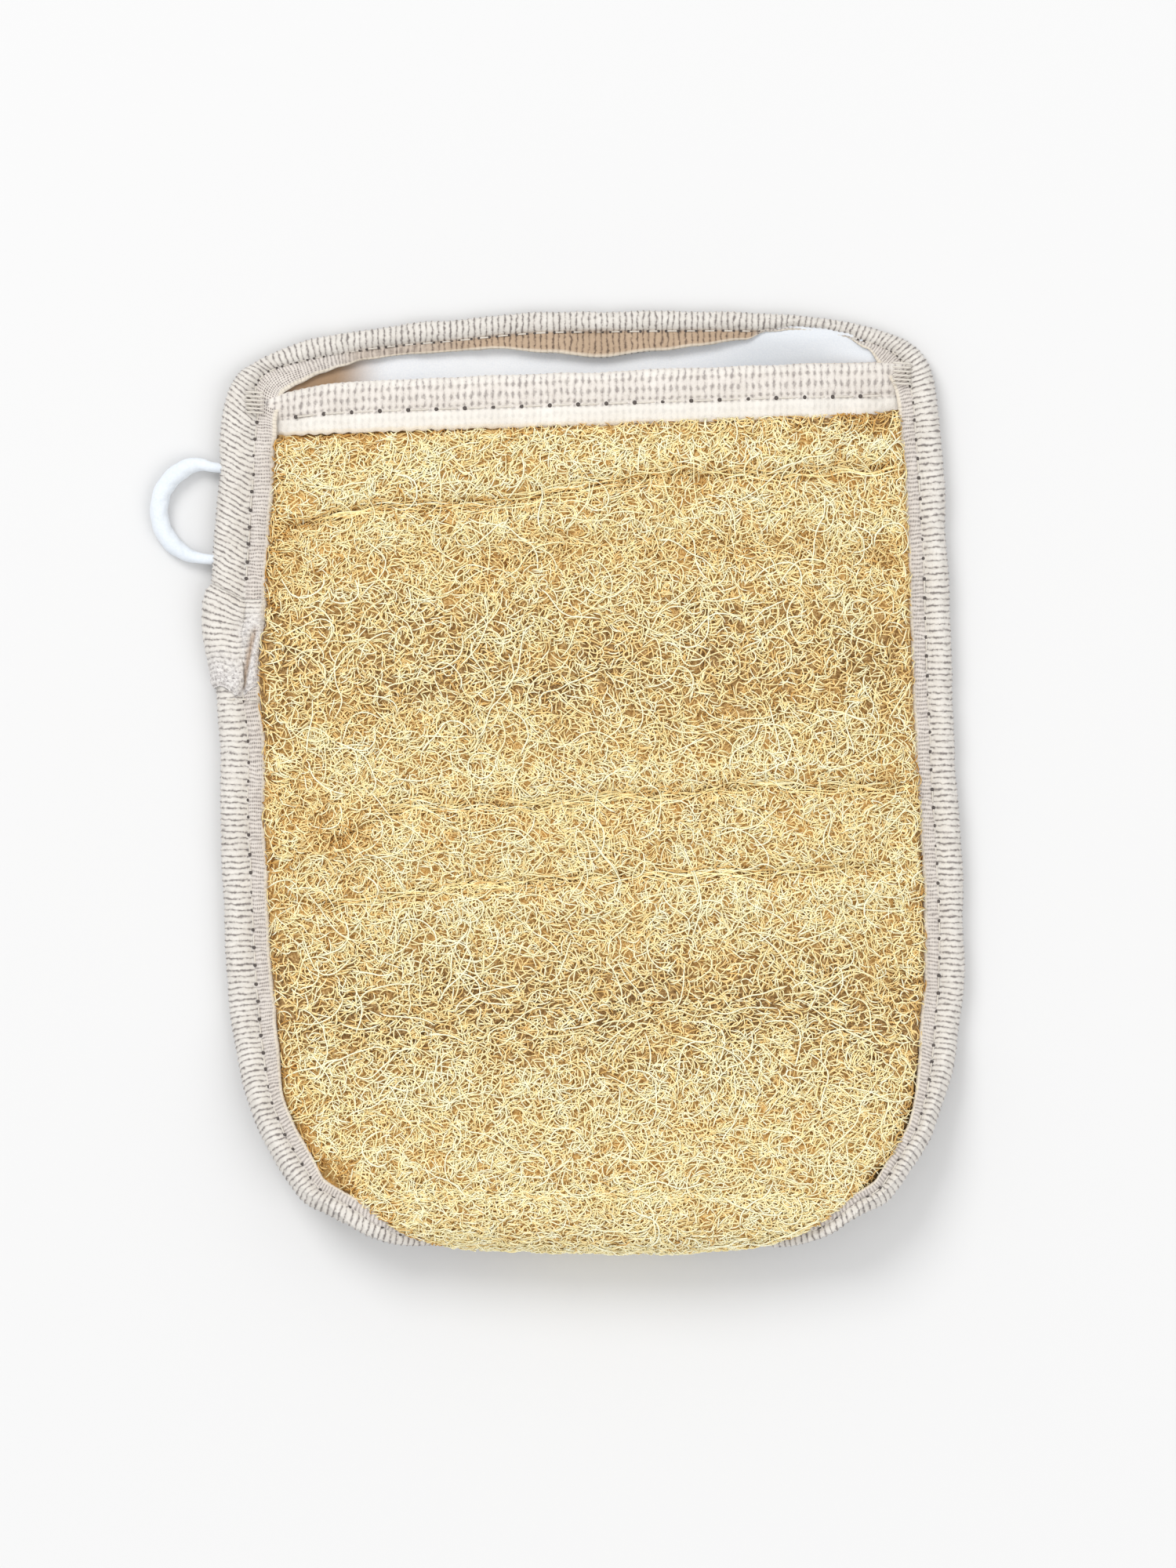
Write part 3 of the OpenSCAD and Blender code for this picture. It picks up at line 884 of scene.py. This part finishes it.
# Width of the leaf on the inside of the back's top edge, at places across the mouth.
TOP_LEAF = [
    (-80, 12.2), (-72, 10.6), (-66, 10.2), (-59, 9.4), (-54, 8.4), (-49, 7.1), (-42, 7.0), (-33, 7.1),
    (-20, 7.2), (-7, 9.0), (6, 10.2), (18, 9.4), (26, 8.4), (37, 7.0), (42, 4.6), (48, 3.7), (55, 3.7),
    (60, 4.4), (66, 6.4), (72, 8.4), (80, 9.0)]


def top_leaf(x):
    for (x0, w0), (x1, w1) in zip(TOP_LEAF, TOP_LEAF[1:]):
        if x <= x1:
            break
    return mix(w0, w1, smooth((x - x0) / (x1 - x0)))


def on_flap(y):
    return smooth((y - 88) / 8)


def tape_profile(x, y):
    """The binding's closed section near a point of the rim: insets and heights, from its selvedge on."""
    free = on_flap(y)
    wide = mix(leaf(x, y), top_leaf(x), free)
    seam = mix(0.62 * wide, min(4.6, wide - 0.8), free)
    high = mix(6.0, 4.3, free)
    flat = mix(5.1, 3.5, free)
    tilt = free * 1.3 * bump((x - 2) / 48)
    return [
        (wide, flat + 0.1 + tilt), (wide * 0.92, flat + 0.25 + tilt * 0.8),
        (mix(seam, wide, 0.5), flat + 0.15 + tilt * 0.3), (mix(seam, wide, 0.2), flat), (seam, flat - 0.35),
        (seam * 0.87, flat + 0.25), (seam * 0.6, high), (seam * 0.36, high + 0.05),
        (1.1, high - 0.45), (0.3, high * 0.72), (0.0, high * 0.5), (0.1, high * 0.3), (0.7, 0.55),
        (2.2, 0.12), (5.0, 0.02), (8.0, 0.02), (10.0, 0.05), (10.0, 0.6), (5.0, 0.7), (1.6, 1.1),
        (1.2, high * 0.5), (2.0, high - 1.2), (seam, flat - 0.9), (wide - 0.3, flat - 0.5 + tilt)]


def rib_slant(p, d):
    """How far the ribs lean along the rim, on the wider tape at the upper left."""
    there = smooth((-p.x - 40) / 30) * smooth((p.y - 16) / 20) * (1 - on_flap(p.y))
    return -0.55 * there * (min(d, 7.0) - 3.5)


def lip_shade(p, d):
    """Painted shade that browns the leaf on the inside of the back's top edge, where it tilts away from the
    light.
    """
    if p.y < 90:
        return 0.0
    across_mouth = smooth((p.x + 57) / 9) * smooth((42 - p.x) / 4)
    return across_mouth * smooth((d - 3.9) / 0.9) * mix(0.45, 1.0, smooth((p.x + 46) / 26))


def make_binding():
    bm = bmesh.new()
    shade = bm.verts.layers.float.new("shade")
    shades = []
    section_steps = 44
    count = len(STATIONS)
    profiles = [tape_profile(p.x, p.y) for p, _ in STATIONS]

    def shape(u, v):
        k = round(u * count) % count
        v = 0.0 if v > 0.99 else v  # the section ends where it starts
        p, inward = STATIONS[k]
        rib = 0.5 - 0.5 * math.cos(math.tau * ((k % SAMPLES) / SAMPLES))
        body = smooth((v - 0.17) / 0.06)
        share = front_share(v)
        edge = bump(v / 0.04) + bump((v - 1) / 0.04)
        rough = 0.34 * flutter(p.x + 30 * v, p.y + 30 * v, 9, 2.0)
        rough += 0.14 * flutter(p.x, p.y + 50 * v, 2.2, 4.0)
        lift = (0.32 * (rib - 0.5) * mix(0.3, 1.0, body) + rough + 0.18 * edge) * share
        d, z = section_point(profiles[k], v, lift)
        d += 0.4 * flutter(p.x, p.y, 11, 8.0)
        z = max(z, 0.02)
        shades.append(lip_shade(p, d) * smooth((v - 0.015) / 0.02) if v < 0.4 else 0.0)
        spot = p + inward * d + Vector((-inward.y, inward.x)) * rib_slant(p, d)
        return place(spot.x, spot.y, z)

    # brown is the painted shade on the lip's leaf, kept in the shade attribute
    for vert, brown in zip(add_grid(bm, count, section_steps, shape), shades):
        vert[shade] = brown
    weld(bm)
    piece = finish_piece("edge_binding", bm, ribbed_tape("ribbed_binding_tape", RIB_COUNT, 0.17))
    ride_flap(piece)
    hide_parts("edge_tape", "flap_tape")


make_binding()


LAP_TOP = 43.5
LAP_END = 20.2
LAP_RIBS = 17


def make_lap():
    """The end of the tape, folded over its own start on the left side; rubbed flat towards its end."""
    bm = bmesh.new()
    shade = bm.verts.layers.float.new("shade")
    worn = bm.verts.layers.float.new("worn")
    marks = []
    reach = 0.54
    steps = LAP_RIBS * SAMPLES

    def shape(u, v):
        y = mix(LAP_END, LAP_TOP, u)
        p = Vector((-width_at(y, -1), y))
        profile = tape_profile(p.x, y)
        upper = v < 0.5
        w = 2 * v if upper else 2 - 2 * v
        thick = smooth(9 * min(w, 1 - w)) * smooth(10 * min(u, 1 - u)) if upper else 0.0
        d, _ = section_point(profile, reach * w, 0.0)
        side = d - mix(6.6, 10.2, (y - 21.5) / 13.5)
        crease = bump(side / 0.9) * smooth((37.5 - y) / 5) * smooth((y - LAP_END) / 2)
        ridge = bump((side + 1.9) / 2.3) * smooth((40 - y) / 6)
        rib = -math.cos(math.tau * u * LAP_RIBS) * smooth((y - 29) / 7) * smooth((8 - d) / 3)
        lift = 0.75 + 0.22 * flutter(d * 2, y * 2, 5, 33.0) + 0.16 * flutter(d * 2, y * 2, 1.3, 34.0)
        lift += 0.12 * rib
        lift += 0.7 * ridge - 0.7 * crease
        d, z = section_point(profile, reach * w, 0.1 + lift * thick)
        d -= 1.0 * bump((y - 35) / 11) * smooth((6 - d) / 6) + 0.4 * bump((y - 35) / 11) * thick
        ragged = 2.0 * flutter(d * 3, y * 3, 4, 35.0)
        dark_end = 0.9 * smooth((LAP_END + 1.3 - y) / 1.2) * bump((d - 1.5) / 3.5)
        rubbed_leaf = smooth((d - 5.0 + ragged) / 4) * smooth((LAP_TOP - 1 - y) / 6)
        # The first mark is painted shade in the crease and darker at the tape's cut end; the second is wear.
        marks.append((max(crease, dark_end) * thick, 0.9 * max(smooth((32 - y + ragged) / 9), rubbed_leaf)))
        slant = 0.55 * (3.5 - min(d, 7.0)) * smooth((y - 30) / 12)
        wavy_end = (1 - u) ** 3 * 1.2 * math.sin(0.75 * d + 0.6)
        return place(p.x + d, y + slant + wavy_end, max(z, 0.05))

    for vert, (dark, rubbed) in zip(add_grid(bm, steps, 64, shape), marks):
        vert[shade] = dark
        vert[worn] = rubbed
    weld(bm)
    piece = finish_piece("binding_lap_end", bm, ribbed_tape("ribbed_tape_end", LAP_RIBS, 0.05))
    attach(piece, "mitt")
    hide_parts("tape_end_lap")


make_lap()

# ---------------------------------------------------------------- mouth hem

HEM_RIBS = 98
HEM_BASE = TERRY_TOP + LINING_T + 0.6
HEM_SEAM = 0.6
HEM_STITCH = 6.3


def hem_line(x):
    """Height of the hem's fold at the mouth; it is pulled down into the left corner."""
    return MOUTH_Y + 1.7 - 0.006 * (x + 70) - 3.0 * smooth((-54 - x) / 22)


def hem_width(x):
    return 11.4 + 1.2 * (x + 70) / 140 - 3.0 * smooth((-54 - x) / 22)


def hem_section(x):
    """The hem tape's closed section, as distances down from its fold and heights over the lining."""
    wide = hem_width(x)
    seam = wide * HEM_SEAM
    front = HEM_BASE + LINING_T + 2.0
    middle = mix(HEM_BASE, front, 0.5)
    return [
        (wide, front + 0.25), (wide * 0.88, front + 0.45), (mix(seam, wide, 0.3), front + 0.35),
        (seam, front), (seam * 0.84, front + 0.45), (seam * 0.5, front + 0.7), (1.5, front + 0.6),
        (0.4, front), (0.0, middle),
        (0.4, HEM_BASE - 0.2), (1.5, HEM_BASE - 0.6), (6, HEM_BASE - 0.6), (10.6, HEM_BASE - 0.6),
        (10.6, HEM_BASE - 0.1), (1.6, HEM_BASE - 0.1), (1.1, middle), (1.6, front - 0.1),
        (seam, front - 0.55), (wide - 0.4, front - 0.3)]


def make_hem():
    bm = bmesh.new()
    shade = bm.verts.layers.float.new("shade")
    shades = []
    left = -width_at(MOUTH_Y, -1) + 3.5
    right = width_at(MOUTH_Y, 1) - 3.5

    def shape(u, v):
        x = mix(left, right, u)
        turn = math.tau * u * HEM_RIBS
        share = smooth((0.5 - v) / 0.05) + smooth((v - 0.97) / 0.03)
        low = bump(v / 0.06) + bump((v - 1) / 0.06)
        lift = (0.07 * -math.cos(turn) * (1 - low) + 0.2 * flutter(x, 9 * min(v, 1 - v), 8, 6.0)) * share
        d, z = section_point(hem_section(x), v, lift)
        frayed = low * (0.22 * math.sin(turn * 0.5) + 0.3 * flutter(x, 0, 1.7, 7.0))
        d += frayed + 0.3 * flutter(x, 0, 9, 17.0)
        y = hem_line(x) - d
        # painted shadow along the back of the fold at both ends, where it stands over the lining
        shades.append(max(smooth((-48 - x) / 10), smooth((x - 44) / 8)) * bump((v - 0.46) / 0.09))
        sink = 1.7 * max(smooth((-60 - x) / 8), smooth((x - 62) / 8)) * (1 if z > HEM_BASE else 0.3)
        return place(x, y, z - sink + gape(x, min(y, MOUTH_Y)))

    for vert, dark in zip(add_grid(bm, HEM_RIBS * 6, 40, shape), shades):
        vert[shade] = dark
    weld(bm)
    bmesh.ops.holes_fill(bm, edges=open_edges(bm), sides=0)
    finish = ribbed_tape("ribbed_hem_tape", HEM_RIBS, 0.32, pale_end=0.15, bright=0.97, gap_tone=172,
                         threads=19.0, split=1.0, dot_tone=150, grid_share=0.55)
    piece = finish_piece("mouth_hem", bm, finish)
    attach(piece, "mitt")
    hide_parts("mouth_hem_tape")


make_hem()

# ---------------------------------------------------------------- linings and terry back


def panel_point(u, v, inset, top):
    """A point of a panel that runs from the closed end to the height top, between the sealed rims."""
    a = 2 * u - 1
    if v < 0.4:
        y = LOW_Y - (LOW_H - inset) * 0.99 * math.cos(v / 0.4 * math.pi / 2)
    else:
        y = mix(LOW_Y, top, (v - 0.4) / 0.6)
    if y > LOW_Y:
        half = width_at(min(y, TOP_Y - 0.4), -1 if a < 0 else 1) - inset
    else:
        half = panel_half(y, inset)
    return a * max(half, 4.0), y


def make_back_lining():
    bm = bmesh.new()

    def face(lift):
        def shape(u, v):
            x, y = panel_point(u, v, 3.0, TOP_Y - 2.2)
            in_pocket = smooth((rim_gap(x, min(y, MOUTH_Y)) - 10) / 3) * smooth((TOP_Y - 9 - y) / 6)
            puffed = 1.5 * bump((x - 52) / 26) * bump((y - 99) / 9)
            z = TERRY_TOP + 0.75 * in_pocket + 0.25 * flutter(x, y, 16, 12.0) * in_pocket + puffed
            return place(x, y, z + lift)
        return shape

    add_grid(bm, 90, 110, face(0.0))
    add_grid(bm, 90, 110, face(0.38))
    bmesh.ops.bridge_loops(bm, edges=open_edges(bm))
    shade = bm.verts.layers.float.new("shade")
    cool_painted_shade = bm.verts.layers.float.new("cool_painted_shade")
    for vert in bm.verts:
        x, y = vert.co.x / MM, vert.co.y / MM
        # A brown painted shade on the lining in the left corner, under the tape's leaf.
        vert[shade] = smooth((-44 - x) / 13) * smooth((y - 84) / 3)
        # A bluish painted shade on the lining at the right of the mouth.
        vert[cool_painted_shade] = smooth((x - 18) / 24) * smooth((y - 86) / 4)
    piece = finish_piece("back_lining_cloth", bm, LINING)
    ride_flap(piece)
    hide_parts("back_lining", "lining_flap")


def make_front_lining():
    bm = bmesh.new()

    def face(lift):
        def shape(u, v):
            x, y = panel_point(u, v, 3.0, MOUTH_Y - 0.6)
            z = TERRY_TOP + LINING_T + 0.6 + gape(x, y)
            return place(x, y, z + lift)
        return shape

    add_grid(bm, 80, 90, face(0.0))
    add_grid(bm, 80, 90, face(0.35))
    bmesh.ops.bridge_loops(bm, edges=open_edges(bm))
    piece = finish_piece("front_lining_cloth", bm, LINING)
    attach(piece, "mitt")
    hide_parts("front_lining")


def make_terry():
    bm = bmesh.new()

    def face(under):
        def shape(u, v):
            x, y = panel_point(u, v, 1.8, TOP_Y - 1.2)
            in_pocket = smooth((rim_gap(x, min(y, MOUTH_Y)) - 10.6) / 2) * smooth((TOP_Y - 10.5 - y) / 3)
            if not under:
                return place(x, y, TERRY_TOP - 0.05 + 0.7 * in_pocket)
            pile = 0.45 * abs(flutter(x, y, 1.7, 30.0)) + 0.25 * abs(flutter(x, y, 0.8, 31.0))
            return place(x, y, 0.8 * (1 - in_pocket) + pile * in_pocket)
        return shape

    add_grid(bm, 150, 180, face(True))
    add_grid(bm, 150, 180, face(False))
    bmesh.ops.bridge_loops(bm, edges=open_edges(bm))
    piece = finish_piece("terry_cloth", bm, TERRY)
    ride_flap(piece)
    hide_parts("terry_back", "terry_flap")


make_terry()
make_back_lining()
make_front_lining()

# ---------------------------------------------------------------- stitching


def needle_holes(name, spots, size, body):
    """Painted shade in the dimples where the needle went in: small dark flat beads set into the tape."""
    bm = bmesh.new()
    for spot in spots:
        made = bmesh.ops.create_uvsphere(bm, u_segments=7, v_segments=4, radius=size * MM)
        for vert in made["verts"]:
            vert.co = Vector((vert.co.x, vert.co.y, vert.co.z * 0.3)) + spot
    piece = finish_piece(name, bm, HOLE)
    ride_on(piece, body)


def stitch_row(name, spots, thickness, node_names, body, dip=0.25):
    """A row of short threads; each spot is the start and the end of a stitch, in metres."""
    line = bpy.data.curves.new(name, "CURVE")
    line.dimensions = "3D"
    line.bevel_depth = thickness / 2 * MM
    line.bevel_resolution = 1
    for start, end in spots:
        spline = line.splines.new("POLY")
        spline.points.add(6)
        values = []
        for k in range(7):
            t = k / 6
            p = start.lerp(end, t) - Vector((0, 0, dip * MM * (2 * t - 1) ** 4))
            values += [*p, 1.0]
        spline.points.foreach_set("co", values)
        spline.use_smooth = True
    piece = finish_piece(name, closed_ends(tube_mesh(name, line)), THREAD)
    ride_on(piece, body)
    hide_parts(*node_names)


def rim_stitches(pitch, share, inset_of, height_of, wanted):
    """Stitches set into the binding all round, wherever wanted(point) holds."""
    count = len(STATIONS)
    step = RIM_LENGTH / count
    spots = []
    s = 0.0
    while s < RIM_LENGTH - pitch:
        ends = []
        for at in (s, s + pitch * share):
            p, inward = STATIONS[int(at / step) % count]
            q = p + inward * inset_of(p)
            ends.append(place(q.x, q.y, height_of(p)))
        if wanted(STATIONS[int(s / step) % count][0]):
            spots.append(ends)
        s += pitch
    return spots


def seam_inset(p):
    return tape_profile(p.x, p.y)[4][0]


def seam_height(p):
    return tape_profile(p.x, p.y)[4][1] + 0.16


STITCH = 4.2
UNDER_SHARE = 0.7
UNDER_DIP = -0.1


def under_height(p):
    return 0.3


def on_side(p):
    return p.y <= 90 and not (p.x < 0 and LAP_END - 2 < p.y < LAP_TOP)


def on_mitt(p):
    return p.y <= 90


def on_top(p):
    return p.y > 90


side_seam = rim_stitches(STITCH, 0.74, seam_inset, seam_height, on_side)
top_seam = rim_stitches(STITCH, 0.6, seam_inset, seam_height, on_top)
stitch_row("edge_seam_thread", side_seam, 0.34, ["edge_needle_thread"], "mitt")
stitch_row("flap_seam_thread", top_seam, 0.34, ["flap_needle_thread"], None)
needle_holes("edge_needle_holes", [stitch[0] for stitch in side_seam], 0.44, "mitt")
needle_holes("flap_needle_holes", [p for stitch in top_seam for p in stitch], 0.34, None)
side_under = rim_stitches(STITCH, UNDER_SHARE, seam_inset, under_height, on_mitt)
top_under = rim_stitches(STITCH, UNDER_SHARE, seam_inset, under_height, on_top)
stitch_row("edge_under_thread", side_under, 0.42, ["edge_bobbin_thread"], "mitt", UNDER_DIP)
stitch_row("flap_under_thread", top_under, 0.42, ["flap_bobbin_thread"], None, UNDER_DIP)


def hem_stitches(height):
    spots = []
    x = -63.5
    while x < 68:
        ends = []
        for at in (x, x + HEM_STITCH * 0.75):
            y = hem_line(at) - hem_width(at) * HEM_SEAM
            ends.append(place(at, y, height + gape(at, y)))
        spots.append(ends)
        x += HEM_STITCH
    return spots


hem_seam = hem_stitches(HEM_BASE + LINING_T + 2.12)
stitch_row("hem_seam_thread", hem_seam, 0.36, ["hem_needle_thread"], "mitt")
needle_holes("hem_needle_holes", [stitch[0] for stitch in hem_seam], 0.5, "mitt")
stitch_row("hem_under_thread", hem_stitches(HEM_BASE - 0.65), 0.4, ["hem_bobbin_thread"], "mitt", UNDER_DIP)


def corner_tack(name, side, node):
    spots = []
    x = side * (width_at(MOUTH_Y, side) - 6.0)
    for k in range(6):
        y = MOUTH_Y + 0.5 - 0.9 * k
        spots.append((place(x - 2.0, y, 6.1), place(x + 2.0, y - 0.4, 6.1)))
    stitch_row(name, spots, 0.45, [node], "mitt")


corner_tack("left_mouth_tack", -1, "left_corner_tack")
corner_tack("right_mouth_tack", 1, "right_corner_tack")
LAP_TACK_Y = 18.5
LAP_TACK_Z = 6.2
lap_spots = []
for k in range(3):
    x = -width_at(LAP_TACK_Y, -1) + 2.5 + k * 2.6
    lap_spots.append((place(x, LAP_TACK_Y, LAP_TACK_Z), place(x + 1.8, LAP_TACK_Y, LAP_TACK_Z)))
stitch_row("lap_end_tack", lap_spots, 0.42, ["lap_tack"], "mitt")

# ---------------------------------------------------------------- hanging loop

# The cord's route, as in the frame, from the upper end round to the lower end.
LOOP_ROUTE = [
    (-84.4, 70.6, 2.6), (-85.8, 70.9, 2.3), (-87.4, 71.0, 1.9), (-89.2, 70.5, 1.9),
    (-91.0, 69.5, 1.9), (-92.7, 68.1, 1.9), (-94.1, 66.4, 1.9), (-95.1, 64.5, 1.9),
    (-95.6, 62.3, 1.9), (-95.7, 60.0, 1.9), (-95.3, 57.7, 1.9), (-94.4, 55.6, 1.9),
    (-93.1, 53.7, 1.9), (-91.5, 52.2, 1.9), (-89.8, 51.1, 1.9), (-88.0, 50.4, 2.1),
    (-85.9, 50.0, 2.6)]
CORD_D = 3.6


def make_loop():
    """One cord whose lobed section twists along it, thinner where it goes in under the binding."""
    bm = bmesh.new()
    route = [(-80.5, 69.9, 2.9)] + LOOP_ROUTE + [(-81.5, 49.6, 2.9)]
    steps = 150
    line = [Vector(curve_through(route, k / steps)) for k in range(steps + 1)]
    length = sum((line[k + 1] - line[k]).length for k in range(steps))

    def shape(u, v):
        k = round(u * steps)
        way = (line[min(steps, k + 1)] - line[max(0, k - 1)]).normalized()
        side = Vector((way.y, -way.x, 0)).normalized()
        up = side.cross(way)
        angle = math.tau * v
        thin = mix(0.62, 1.16, smooth(3.2 * min(u, 1 - u)))
        lobes = 0.93 + 0.07 * abs(math.cos(1.5 * angle + math.tau * u * length / 9.0))
        r = CORD_D / 2 * thin * lobes
        spot = line[k] + side * (r * math.cos(angle)) + up * (r * math.sin(angle))
        return Vector((spot.x, spot.y, max(spot.z, 0.03))) * MM

    add_grid(bm, steps, 24, shape)
    weld(bm)
    bmesh.ops.holes_fill(bm, edges=open_edges(bm), sides=0)
    piece = finish_piece("hanging_loop_cord", bm, CORD)
    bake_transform(piece)
    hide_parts("hang_loop", "loop_tails")


make_loop()

# ---------------------------------------------------------------- stage, light and camera

floor_mesh = bpy.data.meshes.new("floor")
floor_bm = bmesh.new()
bmesh.ops.create_grid(floor_bm, x_segments=2, y_segments=2, size=3.0)
floor_bm.to_mesh(floor_mesh)
floor_bm.free()
floor = bpy.data.objects.new("floor", floor_mesh)
bpy.context.scene.collection.objects.link(floor)
pale = bpy.data.materials.new("pale_floor")
pale.use_nodes = True
floor_shader = pale.node_tree.nodes["Principled BSDF"]
floor_shader.inputs["Base Color"].default_value = (0.70, 0.70, 0.70, 1)
floor_shader.inputs["Roughness"].default_value = 0.9
floor_mesh.materials.append(pale)

world = bpy.data.worlds.new("studio")
world.use_nodes = True
sky = world.node_tree.nodes["Background"]
sky.inputs["Color"].default_value = (1, 1, 1, 1)
sky.inputs["Strength"].default_value = 0.84
bpy.context.scene.world = world


def soft_light(name, spot, size, power):
    """A round lamp that points at the mitt."""
    lamp = bpy.data.lights.new(name, "AREA")
    lamp.shape = "DISK"
    lamp.size = size
    lamp.energy = power
    holder = bpy.data.objects.new(name, lamp)
    holder.location = spot
    holder.rotation_euler = (-Vector(spot)).to_track_quat("-Z", "Y").to_euler()
    bpy.context.scene.collection.objects.link(holder)


soft_light("key", (-1.65, 2.25, 2.85), 2.0, 76.0)
soft_light("fill", (2.1, -1.5, 3.0), 3.0, 44.0)

eye = bpy.data.cameras.new("camera")
eye.sensor_fit = "VERTICAL"
eye.sensor_height = 36
eye.lens = 250
eye_holder = bpy.data.objects.new("camera", eye)
eye_holder.location = (0.0002, -0.0004, 2.4366)
eye_holder.rotation_euler = (0, 0, 0)
bpy.context.scene.collection.objects.link(eye_holder)
bpy.context.scene.camera = eye_holder
bpy.context.scene.view_settings.view_transform = "Standard"
